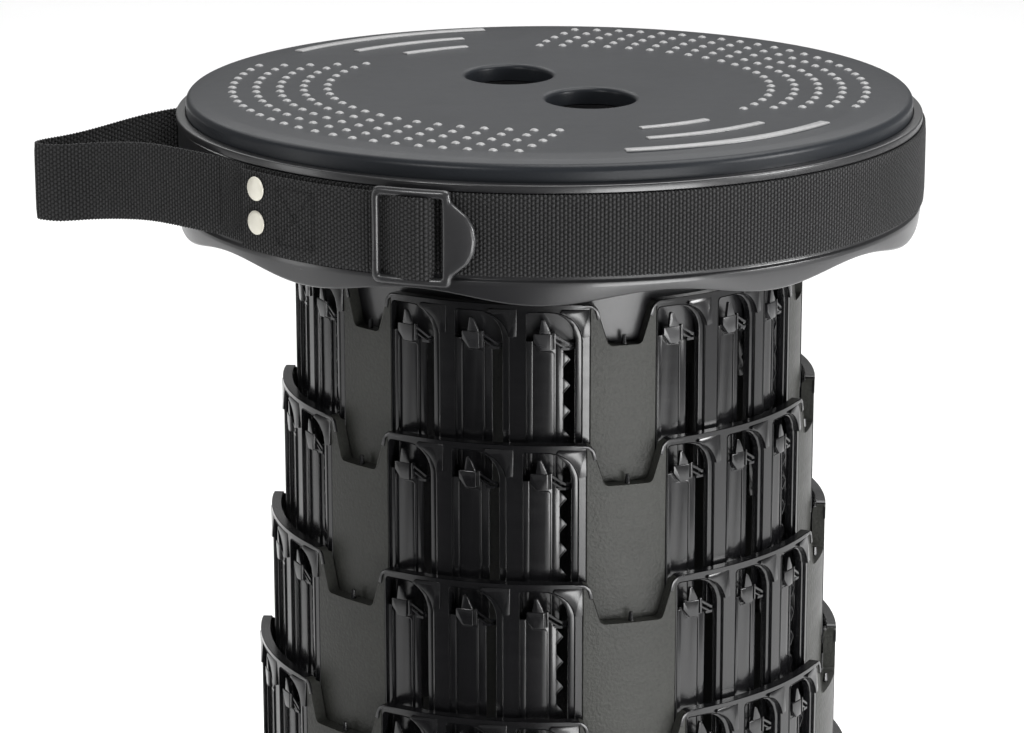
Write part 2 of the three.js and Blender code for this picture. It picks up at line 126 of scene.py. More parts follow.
def feed(shader, **signals):
    """Links what changes over a surface to the shader's sockets."""
    for socket, signal in signals.items():
        inputs = shader.inputs[socket.replace("_", " ")]
        shader.id_data.links.new(signal.socket, inputs)


def moulded(name, dark, light, roughness, grain, depth, **sockets):
    """Moulded plastic: a grain of so many cells to a metre, and slow changes of gloss."""
    place, shader, material = finish(name, **sockets)
    slow = place.noise(14, 3)
    cells = place.noise(grain, 2)
    scuffs = place.noise(60, 6, (1, 1, 7))
    feed(
        shader,
        Base_Color=(slow * 0.6 + cells * 0.4).mix(dark, light),
        Roughness=slow * 0.1 + scuffs * 0.12 + (roughness - 0.11),
        Normal=cells.relief(depth, 0.6),
    )
    return material


def turned(bm, profile, steps=180):
    """Turns a chain of (radius, z) points about the Z axis, as a lathe does."""
    verts = [bm.verts.new((r, 0, z)) for r, z in profile]
    chain = [bm.edges.new(pair) for pair in zip(verts, verts[1:])]
    bmesh.ops.spin(
        bm, geom=verts + chain, cent=(0, 0, 0), axis=(0, 0, 1), angle=2 * math.pi,
        steps=steps, use_merge=True,
    )


def eased(corners, closed=False, fineness=24):
    """The chain of (x, y, radius) corners with each corner rounded to its radius."""
    points = []
    for k, (x, y, radius) in enumerate(corners):
        corner = Vector((x, y))
        if not radius or not closed and k in (0, len(corners) - 1):
            points.append(corner)
            continue
        back = (Vector(corners[k - 1][:2]) - corner).normalized()
        on = (Vector(corners[(k + 1) % len(corners)][:2]) - corner).normalized()
        half = back.angle(on) / 2
        centre = corner + (back + on).normalized() * (radius / math.sin(half))
        arm = corner + back * (radius / math.tan(half)) - centre
        turn = math.pi - 2 * half
        turn *= 1 if back.cross(on) < 0 else -1
        count = max(2, math.ceil(abs(math.degrees(turn)) / fineness))
        points += [centre + Matrix.Rotation(turn * j / count, 2) @ arm for j in range(count + 1)]
    return points


def rims(bm, height, low=0.0, high=1e6):
    """Open edges at one height whose ends lie between two radii."""
    def fits(vert):
        return abs(vert.co.z - height) < 1e-3 and low <= vert.co.xy.length <= high
    return [e for e in bm.edges if len(e.link_faces) < 2 and all(fits(v) for v in e.verts)]


def tube(bm, centre, ellipses, segments=48):
    """Bridges a row of (half width, half length, z) ellipses, and returns its ends."""
    loops = []
    for a, b, z in ellipses:
        place = Matrix.Translation((*centre, z)) @ Matrix.Diagonal((a, b, 1, 1))
        made = bmesh.ops.create_circle(bm, segments=segments, radius=1, matrix=place)
        loops.append(list({e for v in made["verts"] for e in v.link_edges}))
    for loop, following in zip(loops, loops[1:]):
        bmesh.ops.bridge_loops(bm, edges=loop + following)
    return loops[0], loops[-1]


def bore(bm, centre, steps):
    """A round hole through a row of (radius, z) steps, and its ends."""
    return tube(bm, centre, [(r, r, z) for r, z in steps], 24)


def close(bm, *openings):
    """Fills flat openings, each with the holes that lie in it."""
    for edges in openings:
        bmesh.ops.triangle_fill(bm, use_beauty=True, edges=edges)


def at_azimuth(radius, azimuth):
    """A plan point: azimuths are counted from the front towards +X."""
    return radius * math.sin(math.radians(azimuth)), -radius * math.cos(math.radians(azimuth))


def complete(name, bm, body, materials, stands_for, crease=32, lift=0.0):
    """Closes a mesh drawn in millimetres, lifts it into place and makes it a piece."""
    bmesh.ops.remove_doubles(bm, verts=bm.verts, dist=0.002)
    bmesh.ops.dissolve_degenerate(bm, edges=bm.edges, dist=0.0005)
    bmesh.ops.recalc_face_normals(bm, faces=bm.faces)
    bmesh.ops.translate(bm, verts=bm.verts, vec=(0, 0, lift))
    bmesh.ops.scale(bm, verts=bm.verts, vec=(MM, MM, MM))
    mesh = bpy.data.meshes.new(name)
    bm.to_mesh(mesh)
    bm.free()
    for material in materials:
        mesh.materials.append(material)
    mesh.shade_smooth()
    mesh.set_sharp_from_angle(angle=math.radians(crease))
    piece = bpy.data.objects.new(name, mesh)
    bpy.context.scene.collection.objects.link(piece)
    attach(piece, body)
    for node in stands_for:
        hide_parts(node)


base_plastic = moulded("base_black", (0.010, 0.010, 0.011), (0.017, 0.017, 0.018),
                       roughness=0.42, grain=900, depth=0.05)
bm = bmesh.new()
turned(bm, eased([
    (SEAT_R - 1.8, UNDERSIDE, 0), (SEAT_R, UNDERSIDE, 1.6), (SEAT_R, BASE_TOP, 0.9),
    (BASE_IN, BASE_TOP, 0.9), (BASE_IN, FLOOR_TOP, 1.1), (BASE_IN - 1.2, FLOOR_TOP, 0),
]))
under, over = rims(bm, UNDERSIDE, SEAT_R - 2), rims(bm, FLOOR_TOP)
for radius, azimuth in BASE_SCREWS:
    sunk = UNDERSIDE + 1.9
    ends = bore(bm, at_azimuth(radius, azimuth), [
        (HEAD_HOLE, UNDERSIDE), (HEAD_HOLE, sunk), (SCREW_HOLE, sunk), (SCREW_HOLE, FLOOR_TOP),
    ])
    under, over = under + ends[0], over + ends[1]
close(bm, under, over)
complete("base_moulding", bm, "stand", [base_plastic], ["base_tray"])

# Foot pads: seven soft black rubber discs stuck under the base, with two round grooves in
# the face that grips the floor. They are a guess, as the photograph doesn't reach them.
PAD_R, PAD_CIRCLE = 8, 109
GROOVE = 0.35
rubber = moulded("pad_rubber", (0.010, 0.010, 0.010), (0.020, 0.020, 0.019),
                 roughness=0.85, grain=1500, depth=0.06)
pads = {"foot_pad_middle": (0, 0)}
pads.update({
    f"foot_pad_{k + 1}": at_azimuth(PAD_CIRCLE, PANEL_AT + 30 + 60 * k) for k in range(6)
})
for node, (x, y) in pads.items():
    bm = bmesh.new()
    profile = [(0, 0, 0)]
    for r in (2.6, 5.4):
        profile += [(r, 0, 0.2), (r + 0.2, GROOVE, 0.1), (r + 1, GROOVE, 0.1), (r + 1.2, 0, 0.2)]
    profile += [(PAD_R, 0, 0.4), (PAD_R, PAD_T, 0.3), (0, PAD_T, 0)]
    turned(bm, eased(profile), 48)
    bmesh.ops.translate(bm, verts=bm.verts, vec=(x, y, 0))
    complete(node.replace("foot_pad", "rubber_pad"), bm, "stand", [rubber], [node])

# Screws: zinc-plated steel with a round head and a cross for the driver. Three come up
# through the base into the lowest ring, and three through the seat's tray into its cap.
HEAD_R, HEAD_T = 3, 1.4
SHANK_R, THREAD_DEEP, PITCH = 1.3, 0.25, 0.45
CROSS_IN, CROSS_OUT, CROSS_DEEP = 0.3, 1.5, 0.9
FLAT_R = 2  # the flat of the head, round the cross
BASE_SCREW, SEAT_SCREW = 12, 7.6  # lengths
place, shader, screw_steel = finish("screw_zinc", Metallic=1.0)
feed(
    shader,
    Base_Color=place.noise(700).mix((0.42, 0.41, 0.38), (0.62, 0.61, 0.57)),
    Roughness=place.noise(1800, 4) * 0.3 + 0.2,
    Normal=place.noise(2500, 3).relief(0.02),
)


def screw(name, length, centre, foot, body, lift, node):
    """A screw, its head down: a lathe turns it, and a cross is sunk into the head's flat."""
    bm = bmesh.new()
    thread = [
        Vector((SHANK_R - THREAD_DEEP * (k % 2), HEAD_T + 0.3 + PITCH * k))
        for k in range(int((length - 3) / PITCH))
    ]
    head = eased([(FLAT_R, 0, 0), (HEAD_R, 0, 0.5), (HEAD_R, HEAD_T, 0.1), (1.1, HEAD_T, 0)])
    turned(bm, head + thread + [Vector((0, length))], 40)
    arm = [(CROSS_IN, CROSS_IN), (CROSS_IN, CROSS_OUT), (-CROSS_IN, CROSS_OUT)]
    cross = [
        bm.verts.new((*(Matrix.Rotation(math.pi / 2 * k, 2) @ Vector(point)), 0))
        for k in range(4) for point in arm
    ]
    flat = bm.faces.new(cross)
    sides = list(flat.edges)
    sunk = bmesh.ops.extrude_face_region(bm, geom=[flat])["geom"]
    deep = [v for v in sunk if isinstance(v, bmesh.types.BMVert)]
    bmesh.ops.translate(bm, verts=deep, vec=(0, 0, CROSS_DEEP))
    bmesh.ops.scale(bm, verts=deep, vec=(0.75, 0.75, 1))
    lids = [f for f in bm.faces if set(f.verts) == set(cross)]
    bmesh.ops.delete(bm, geom=lids, context="FACES_ONLY")
    close(bm, rims(bm, 0, FLAT_R - 0.1, FLAT_R + 0.1) + sides)
    bmesh.ops.translate(bm, verts=bm.verts, vec=(*centre, foot))
    complete(name, bm, body, [screw_steel], [node], lift=lift)


for k, (radius, azimuth) in enumerate(BASE_SCREWS):
    screw(f"base_fixing_{k + 1}", BASE_SCREW, at_azimuth(radius, azimuth), UNDERSIDE + 0.2,
          "stand", 0, f"base_screw_{k + 1}")

# Rings: eight nested sleeves of glossy black plastic, each moulded with six groups of three
# tall windows between plain grained panels. The lugs inside a ring's foot look out of the
# next ring's windows. A sixth of a ring is drawn flat, then bent and set round the axis.
RINGS = 8
RING_R, RING_STEP = 86.2, 4.6
TRAVEL = 45.2
LUG_DROP = 15.2  # a ring's top edge to the lowest point of the lugs that look out of it
RING_H = TRAVEL + LUG_DROP
FIRST_TOP = FLOOR_TOP + GAP + RING_H  # the lowest ring's top edge, over the floor
MODULE = 23.5  # one window with its pillar
GROUP_W = 3 * MODULE
FIRST_WINDOW = 9.1  # its middle, from the left side of its group
WINDOWS = [MODULE * k - GROUP_W / 2 + FIRST_WINDOW for k in range(3)]
HALF = 7.9  # half of a window's opening
FRAME, SUNK = 2.2, 0.7  # a window's frame: its width, and how far it is set back
RING_WALL, PANEL_WALL = 3.0, 4.2
PLATE_TOP, PLATE_RIGHT, PLATE_AT = -12.2, 1.6, 2.0  # the plate set back in a window
ARCH_UP = 9.3
NOTCH, SLANT = -14, 4.4  # the cut-out over a panel: its floor, and the run of its sides
LIP, LIP_UP = 0.35, 0.3  # a fine lip round the skin
TEETH, FIRST_TOOTH, TOOTH_STEP = 5, -18.6, -8.6
BORDERS = (-34.6, 33.5)  # the grained panels start here, behind a narrow groove
BORDER_HALF, BORDER_DEEP = 0.25, 0.4
STRIP = 3.2  # the widest that a flat strip of a bent piece may be
SIXTH_AT = PANEL_AT + 30  # azimuth of the drawn sixth's middle
ring_gloss = moulded("ring_gloss", (0.003, 0.003, 0.0035), (0.006, 0.006, 0.0065),
                     roughness=0.2, grain=500, depth=0.012)
ring_grain = moulded("ring_grain", (0.002, 0.002, 0.002), (0.046, 0.047, 0.042),
                     roughness=0.42, grain=1000, depth=0.3, Specular_IOR_Level=0.2)


def cut(bm, point, normal, clear=False):
    """Cuts a mesh with a plane, and may clear what lies beyond it."""
    bmesh.ops.bisect_plane(
        bm, geom=bm.verts[:] + bm.edges[:] + bm.faces[:], plane_co=point, plane_no=normal,
        clear_outer=clear, dist=1e-4,
    )


def deepen(bm, near, depth, rounding):
    """Gives a flat skin its depth, and rounds the edges of its near side."""
    made = bmesh.ops.extrude_face_region(bm, geom=bm.faces[:])["geom"]
    for vert in made:
        if isinstance(vert, bmesh.types.BMVert):
            vert.co.y = depth(vert.co.x) if callable(depth) else depth
    edges = [
        e for e in bm.edges
        if len(e.link_faces) == 2 and e.calc_face_angle() > 1
        and all(v.co.y < near + 0.01 for v in e.verts)
    ]
    bmesh.ops.bevel(
        bm, geom=edges, offset=rounding, offset_type="OFFSET", segments=2,
        profile=0.5, affect="EDGES", material=-1,
    )


def pour(bm, target):
    """Adds one mesh to another."""
    mesh = bpy.data.meshes.new("poured")
    bm.to_mesh(mesh)
    bm.free()
    target.from_mesh(mesh)
    bpy.data.meshes.remove(mesh)


def slab(target, outline, near, far, rounding=0.15):
    """A flat outline of (u, z) points, solid from one depth to another, ready to be bent."""
    bm = bmesh.new()
    bm.faces.new([bm.verts.new((u, near, z)) for u, z in outline])
    left, right = min(u for u, _ in outline), max(u for u, _ in outline)
    count = math.ceil((right - left) / STRIP)
    for j in range(1, count):
        cut(bm, (left + (right - left) * j / count, 0, 0), (1, 0, 0))
    deepen(bm, near, far, rounding)
    pour(bm, target)


def bend(bm, radius, azimuth):
    """Bends what is drawn flat to a radius: x runs along the arc and y goes inwards."""
    for vert in bm.verts:
        turn = azimuth + math.degrees(vert.co.x / radius)
        vert.co.x, vert.co.y = at_azimuth(radius - vert.co.y, turn)


def ribbon(path, width):
    """The outline of a band of that width along a path."""
    sides = []
    for sign in (1, -1):
        side = []
        for k, point in enumerate(path):
            along = Vector(path[min(k + 1, len(path) - 1)]) - Vector(path[max(k - 1, 0)])
            across = Vector((-along.y, along.x)).normalized() * sign * width / 2
            side.append(Vector(point) + across)
        sides.append(side)
    return sides[0] + sides[1][::-1]


def arch(middle, grow=0.0, rise=0.0, start=90, stop=0, steps=9):
    """Points of the quarter arch over a window, from an angle down towards its right side."""
    for k in range(steps + 1):
        t = math.radians(start + (stop - start) * k / steps)
        yield (
            middle - 0.5 + (HALF + 0.5 + grow) * math.cos(t),
            PLATE_TOP + (ARCH_UP + rise) * math.sin(t),
        )


def scoop(target, middle):
    """The corner between an arch and the rim: a face that leans up and to the right."""
    corner = Vector((middle + 12.5, -1.7))
    outline = list(arch(middle, FRAME + 0.3, 0.7, start=72, stop=8, steps=8))
    outline += [(corner.x, -10.4), tuple(corner), (middle + 3.6, corner.y)]
    bm = bmesh.new()
    bm.faces.new([
        bm.verts.new((u, 0.28 - 0.12 * (corner.x + corner.y - u - z) / math.sqrt(2), z))
        for u, z in outline
    ])
    deepen(bm, 0.3, 0.6, 0.1)
    pour(bm, target)


def teeth(target, root):
    """Five pointed teeth with raised edges, down the far side of a slot."""
    for tooth in range(TEETH):
        z = FIRST_TOOTH + TOOTH_STEP * tooth
        point = [(root, z + 2.6), (root + 2.3, z), (root, z - 2.6)]
        slab(target, point, 2.75, RING_WALL, 0.1)
        slab(target, ribbon(point, 0.45), 2.45, RING_WALL, 0.12)


def window(target, middle, toothed):
    """What stands in a window: its frame, the plate set back in it, and the plate's edges."""
    foot, right = -RING_H, middle + HALF
    left, plate_right = middle - HALF - 0.3, middle + PLATE_RIGHT
    inside, outside = list(arch(middle)), list(arch(middle, FRAME + 0.2, 0.5))
    frame_foot = [(right + FRAME + 0.2, foot), (right, foot)]
    slab(target, inside[::-1] + outside + frame_foot, SUNK, RING_WALL, 0.2)
    slab(target, eased([
        (left, foot, 0), (plate_right, foot, 0), (plate_right, PLATE_TOP, 1.4),
        (left, PLATE_TOP, 0),
    ], closed=True), PLATE_AT, RING_WALL)
    slab(target, [
        (left, foot), (middle - 5.9, foot), (middle - 5.9, PLATE_TOP), (left, PLATE_TOP),
    ], 0.9, RING_WALL, 0.2)
    bead = [(middle - 6.5, -12.3), (middle - 3.6, -15.9), (middle + 0.5, -15.9),
            (middle + 1.2, -16.6), (middle + 1.2, foot + 0.1)]
    slab(target, ribbon(bead, 0.5), PLATE_AT - 0.22, PLATE_AT + 0.1, 0.12)
    slab(target, [
        (middle + 1.4, foot + 0.1), (middle + 4.1, foot + 0.1), (middle + 4.1, -15.8),
        (middle + 3.2, -13.8), (middle + 1.4, -13.0),
    ], PLATE_AT + 0.5, RING_WALL)
    if toothed:
        teeth(target, middle + 3.9)
    scoop(target, middle)


def wall(radius):
    """A sixth of a ring, flat, its top edge at z 0: pillars between windows, and half panels."""
    span, side = math.pi * radius / 3, GROUP_W / 2
    far, foot = span / 2 + 4, -RING_H - 4
    crest = [(0.1 - side, 0, 2.6), (side - 0.1, 0, 2.6)]
    edge = [(-far, NOTCH, 0), (-side - SLANT, NOTCH, 1.8), *crest,
            (side + SLANT, NOTCH, 1.8), (far, NOTCH, 0)]
    corners = [(-far, foot, 0)]
    for middle in WINDOWS:
        corners += [(middle - HALF, foot, 0), (middle - HALF, -2.6, 1.2)]
        corners += [(*point, 0) for point in arch(middle, FRAME, 0.3)]
        corners += [(middle + HALF + FRAME, foot, 0)]
    corners += [(far, foot, 0)] + edge[::-1]
    bm = bmesh.new()
    outline = eased(corners, closed=True)
    skin = bm.faces.new([bm.verts.new((u, 0, z)) for u, z in outline])
    for thickness, depth in ((LIP, 0), (0.2, -LIP_UP)):
        bmesh.ops.inset_region(
            bm, faces=[skin], thickness=thickness, depth=depth, use_boundary=True,
            use_even_offset=True,
        )
    cut(bm, (0, 0, -RING_H), (0, 0, -1), clear=True)
    for end in (-1, 1):
        cut(bm, (end * span / 2, 0, 0), (end, 0, 0), clear=True)
    for border in BORDERS:
        for step in (-BORDER_HALF, 0, BORDER_HALF):
            cut(bm, (border + step, 0, 0), (1, 0, 0))
    columns = 26
    for j in range(1, columns):
        cut(bm, (span * (j / columns - 0.5), 0, 0), (1, 0, 0))
    for vert in bm.verts:
        to_border = min(abs(vert.co.x - border) for border in BORDERS)
        if to_border < 1e-3 and vert.co.y > LIP_UP - 0.01:
            vert.co.y += BORDER_DEEP
    for face in bm.faces:
        u = face.calc_center_median().x
        face.material_index = int(not BORDERS[0] < u < BORDERS[1])
    deepen(bm, 0, lambda u: PANEL_WALL if abs(u) > side + 0.4 else RING_WALL, 0.26)
    rail = eased([(-side - 1.1, -4.4, 0), *crest, (side + 1.1, -4.4, 0)])
    slab(bm, ribbon([(u, z - 0.75) for u, z in rail], 1.25), -0.2, 0.5, 0.3)
    for end in (1, -1):
        cut(bm, (end * span / 2, 0, 0), (end, 0, 0), clear=True)
    ends = [f for f in bm.faces if all(abs(v.co.x) > span / 2 - 0.001 for v in f.verts)]
    bmesh.ops.delete(bm, geom=ends, context="FACES_ONLY")
    for k, middle in enumerate(WINDOWS):
        window(bm, middle, toothed=k == 2)
    return bm


def strut(bm, start, stop, across, drop):
    """A straight bar between two points, so thick in plan and so deep below them."""
    run = (Vector(stop) - Vector(start)).xy.normalized()
    side = Vector((-run.y, run.x, 0)) * across / 2
    tops = [Vector(point) + way for point in (start, stop) for way in (side, -side)]
    corners = [bm.verts.new(top - Vector((0, 0, down))) for top in tops for down in (0, drop)]
    bmesh.ops.convex_hull(bm, input=corners)


def lugs(radius):
    """Three lugs, flat: a pointed head with a fin, and a bent arm back to the wall inside."""
    bm = bmesh.new()
    inner = radius - RING_STEP
    for middle in WINDOWS:
        for outline, near, far, rounding in (
            (((-5.6, -12.2, 0.4), (-3.2, -15.2, 0.4), (0.2, -15.2, 0.3), (0.2, -9.6, 0.3),
              (-5.6, -9.6, 0.3)), 0.3, 1.7, 0.28),
            (((-1.0, -14.9, 0), (1.2, -14.9, 0), (1.2, -9.8, 0), (-1.0, -9.8, 0)), 0.9, 1.7, 0.1),
            (((0.8, -14.6, 0.2), (1.5, -14.6, 0.2), (1.5, -9.3, 0.2), (0.8, -9.3, 0.2)),
             0.35, 1.7, 0.15),
            (((-3.8, -9.8, 0), (0.0, -9.8, 0), (-0.4, -8.6, 1.5), (-1.6, -6.0, 1.5),
              (-2.3, -5.0, 0.3), (-3.1, -5.0, 0.3)), 0.45, 1.6, 0.25),
        ):
            placed = eased([(middle + u, z, r) for u, z, r in outline], closed=True)
            slab(bm, placed, near, far, rounding)
        root = (middle + HALF) * radius / inner + 0.6
        for start, stop, across, drop in (
            ((middle + 0.6, 1.15, -9.6), (middle + 6.0, 1.3, -12.9), 0.7, 0.8),
            ((middle + 5.8, 1.3, -12.8), (root, 5.3, -14.1), 0.7, 0.8),
            ((middle + 1.3, 1.2, -12.0), (middle + 5.2, 1.3, -14.4), 0.5, 0.6),
            ((middle + 5.8, 1.3, -14.3), (root, 5.3, -14.3), 0.7, 0.8),
            ((middle + 3.4, 1.3, -14.3), (middle + 6.0, 1.3, -14.3), 0.7, 0.8),
        ):
            strut(bm, start, stop, across, drop)
    return bm


def round_the_axis(bm):
    """Repeats a sixth of a ring six times."""
    bmesh.ops.spin(
        bm, geom=bm.verts[:] + bm.edges[:] + bm.faces[:], cent=(0, 0, 0), axis=(0, 0, 1),
        angle=math.radians(300), steps=5, use_duplicate=True,
    )


for i in range(1, RINGS + 1):
    radius = RING_R + RING_STEP * (i - 1)
    bm = wall(radius)
    bend(bm, radius, SIXTH_AT)
    if i < RINGS:
        held = lugs(radius + RING_STEP)
        bend(held, radius + RING_STEP, SIXTH_AT)
        bmesh.ops.translate(held, verts=held.verts, vec=(0, 0, -TRAVEL))
        pour(held, bm)
    turn = Matrix.Rotation(math.radians(PANEL_AT), 4, "Z")
    pin = Matrix.Translation((*at_azimuth(radius - 2, PANEL_AT), NOTCH + 1.2)) @ turn
    bmesh.ops.create_cone(
        bm, cap_ends=True, segments=8, radius1=0.95, radius2=0.6, depth=3.6, matrix=pin,
    )
    round_the_axis(bm)
    if i == RINGS:
        post_r, post_top = 2.5, 14 - RING_H
        for reach, azimuth in BASE_SCREWS:
            ends = bore(bm, at_azimuth(reach, azimuth), [
                (SCREW_HOLE, post_top), (SCREW_HOLE, -RING_H), (post_r, -RING_H),
                (post_r, post_top),
            ])
            bmesh.ops.bridge_loops(bm, edges=ends[0] + ends[1])
    body = f"stage_{i}" if i < RINGS else "stand"
    complete(f"ring_{i}_moulding", bm, body, [ring_gloss, ring_grain],
             [f"ring_{i}"], lift=FIRST_TOP + TRAVEL * (RINGS - i))

# Seat tray: one black moulding with a skirt that rises and falls along its lower edge, a
# shallow groove for the strap, and a collar with lugs that runs inside the smallest ring.
SEAT_Z = 381.6
WEB_TOP, WEB_FOOT = 48.2, 45.8
GROOVE_R = SEAT_R - 0.6
SKIRT_IN = 122.2
COLLAR_R = RING_R - RING_STEP
COLLAR_IN = COLLAR_R - 2.4
PLATE_EDGE = 70  # the web is flat inside this radius
WAVES, WAVE, WAVE_FROM, WAVE_TO = 10, 2.1, 16, 11.3
FINGER_HOLES = [(13.5, -20.8), (-13.5, 20.8)]
FINGER_W, FINGER_L = 14.8, 17.2
SCREW_CIRCLE = 58
SEAT_SCREWS = [at_azimuth(SCREW_CIRCLE, PANEL_AT - 120 + 120 * k) for k in range(3)]
tray_plastic = moulded("tray_black", (0.008, 0.008, 0.009), (0.014, 0.014, 0.015),
                       roughness=0.3, grain=800, depth=0.03, Coat_Weight=0.2,
                       Coat_Roughness=0.12)
bm = bmesh.new()
turned(bm, eased([
    (PLATE_EDGE, WEB_TOP, 0), (120.1, WEB_TOP, 0.4), (120.1, 46.7, 0.1), (121.9, 46.7, 0.1),
    (122, 47.5, 0.15), (SEAT_R, 47.3, 0.5), (SEAT_R, 44.9, 0.4), (GROOVE_R, 44.4, 0.3),
    (GROOVE_R, 17.6, 0.5), (SEAT_R + 0.1, 16.9, 0.3), (SEAT_R + 0.1, 15.6, 3),
    (SEAT_R - 0.4, WAVE_TO, 0.9), (SKIRT_IN, WAVE_TO, 0.9), (SKIRT_IN, 43.4, 1.2),
    (119.5, WEB_FOOT, 1), (COLLAR_R, WEB_FOOT, 1), (COLLAR_R, -LUG_DROP, 0.5),
    (COLLAR_IN, -LUG_DROP, 0.5), (COLLAR_IN, WEB_FOOT, 1), (PLATE_EDGE, WEB_FOOT, 0),
]), 240)
for vert in bm.verts:
    x, y, z = vert.co
    if z < WAVE_FROM and math.hypot(x, y) > 120:
        share = min(1, (WAVE_FROM - z) / (WAVE_FROM - WAVE_TO))
        azimuth = math.atan2(x, -y) - math.radians(PANEL_AT)
        vert.co.z += WAVE * share * math.cos(WAVES * azimuth)
top, below = rims(bm, WEB_TOP), rims(bm, WEB_FOOT)
holes = [(spot, FINGER_W, FINGER_L) for spot in FINGER_HOLES]
holes += [(spot, SCREW_HOLE, SCREW_HOLE) for spot in SEAT_SCREWS]
for spot, half_width, half_length in holes:
    ends = tube(bm, spot, [(half_width, half_length, z) for z in (WEB_TOP, WEB_FOOT)])
    top, below = top + ends[0], below + ends[1]
close(bm, top, below)
held = lugs(RING_R)
bend(held, RING_R, SIXTH_AT)
round_the_axis(held)
pour(held, bm)
complete("tray_moulding", bm, "seat", [tray_plastic], ["seat_tray"], lift=SEAT_Z)
for k, spot in enumerate(SEAT_SCREWS):
    screw(f"seat_fixing_{k + 1}", SEAT_SCREW, spot, WEB_FOOT - HEAD_T - GAP,
          "seat", SEAT_Z, f"seat_screw_{k + 1}")

# Seat cap: the round top, of dark grey plastic with a fine matt grain, screwed on from the
# tray. Its edge is rolled over, and two finger holes with rounded rims go through it. Raised
# lines and two fields of small raised grips keep a sitter from sliding; their tops are
# painted paler, a painted highlight.
CAP_TOP, CAP_UNDER, CAP_FOOT = 54, 51.2, 48.5
CAP_R = 121.7
EASE = 1.6  # rounding of the finger holes' rims
LIP_T = 2.4  # wall round a finger hole
BOSS_R, PILOT_TOP = 3.4, 52  # what a screw goes up into
GRIP_UP, GRIP_ROUND = 0.7, 2.18  # a grip is the top of a ball
ROWS, FIRST_ROW, ROW_STEP, GRIP_PITCH = 5, 74.4, 7.95, 8.07
LINE_UP, LINE_SUNK = 0.65, 0.3
LINES = [(107.7, 33.2, 21.2, 3.8), (92.3, 32.8, 14, 3), (76.8, 31.1, 9.6, 2.8)]
cap_plastic = moulded("cap_slate", (0.010, 0.011, 0.013), (0.016, 0.018, 0.021),
                      roughness=0.33, grain=1300, depth=0.04, Specular_IOR_Level=0.14)
# The grips and raised lines take this material. Its colour turns pale towards their tops, a
# painted highlight, with a random tone on top.
place, shader, grip_highlit_plastic = finish("grip_painted_highlight")
height = place.axis(2)
highlight_share = height.node("ShaderNodeMapRange", {}, {
    "Value": height, "From Min": (SEAT_Z + CAP_TOP - 0.1) * MM,
    "From Max": (SEAT_Z + CAP_TOP + 0.3) * MM,
})
feed(
    shader,
    Base_Color=(highlight_share * (place.noise(900, 3) * 0.5 + 0.7)).mix(
        (0.022, 0.024, 0.027), (0.22, 0.22, 0.22)
    ),
    Roughness=place.noise(400, 3) * 0.2 + 0.26,
    Normal=place.noise(1500).relief(0.03),
)


def grip():
    """One raised dot, closed below."""
    bm = bmesh.new()
    ball = [
        (GRIP_ROUND * math.sin(math.radians(t)),
         CAP_TOP + GRIP_UP - GRIP_ROUND + GRIP_ROUND * math.cos(math.radians(t)))
        for t in (0, 12, 24, 34, 43, 50)
    ]
    turned(bm, ball + [(1.5, CAP_TOP - 0.5), (0, CAP_TOP - 0.5)], 12)
    for face in bm.faces:
        face.material_index = 1
    return bm


def stamp(target, shape, spots):
    """Sets a copy of a small mesh at each of the plan points."""
    shape.verts.index_update()
    for spot in spots:
        place = Matrix.Translation((*spot, 0))
        verts = [target.verts.new(place @ vert.co) for vert in shape.verts]
        for face in shape.faces:
            made = target.faces.new([verts[v.index] for v in face.verts])
            made.material_index = face.material_index
    shape.free()


def raised_line(target, radius, middle, spread, width):
    """A raised line along an arc, with rounded upper edges."""
    bm = bmesh.new()
    path = [Vector(at_azimuth(radius, middle + spread * (k / 16 - 1))) for k in range(33)]
    foot = CAP_TOP - LINE_SUNK
    bm.faces.new([bm.verts.new((x, y, foot)) for x, y in ribbon(path, width)])
    risen = bmesh.ops.extrude_face_region(bm, geom=bm.faces[:])["geom"]
    upper = [v for v in risen if isinstance(v, bmesh.types.BMVert)]
    bmesh.ops.translate(bm, verts=upper, vec=(0, 0, LINE_SUNK + LINE_UP))
    edges = [e for e in bm.edges if all(v in upper for v in e.verts)]
    bmesh.ops.bevel(
        bm, geom=edges, offset=0.6, offset_type="OFFSET", segments=3, profile=0.5,
        affect="EDGES", material=-1,
    )
    for face in bm.faces:
        face.material_index = 1
    pour(bm, target)


bm = bmesh.new()
turned(bm, eased([
    (100, CAP_TOP, 0), (108, CAP_TOP, 40), (116, 53.6, 18), (CAP_R, 52.7, 2.4),
    (CAP_R, 46.9, 0.4), (120.3, 46.9, 0.2), (120.3, CAP_FOOT, 0.2), (117.5, CAP_FOOT, 0.3),
    (117.5, 51, 0.8), (100, CAP_UNDER, 0),
], fineness=6), 240)
top, below = rims(bm, CAP_TOP), rims(bm, CAP_UNDER)
for spot in FINGER_HOLES:
    turns = [math.radians(15 * k) for k in range(7)]
    steps = [(EASE + 0.8, CAP_TOP)]
    steps += [(EASE * (1 - math.sin(t)), CAP_TOP - EASE * (1 - math.cos(t))) for t in turns]
    steps += [(0, CAP_FOOT), (LIP_T, CAP_FOOT), (LIP_T, CAP_UNDER)]
    ends = tube(bm, spot, [(FINGER_W + grow, FINGER_L + grow, z) for grow, z in steps], 72)
    top, below = top + ends[0], below + ends[1]
for spot in SEAT_SCREWS:
    ends = bore(bm, spot, [
        (BOSS_R, CAP_UNDER), (BOSS_R, CAP_FOOT), (SCREW_HOLE, CAP_FOOT),
        (SCREW_HOLE, PILOT_TOP),
    ])
    below = below + ends[0]
    close(bm, ends[1])
close(bm, top, below)
dots = []
for turn in (0, 180):
    for row in range(ROWS):
        radius = FIRST_ROW + ROW_STEP * row
        start, stop = -122.3 + 2.1 * row, 2 - 1.9 * row
        pitch = math.degrees(GRIP_PITCH / radius)
        count = int((stop - start) / pitch) + 1
        dots += [at_azimuth(radius, stop - pitch * j + turn) for j in range(count)]
stamp(bm, grip(), dots)
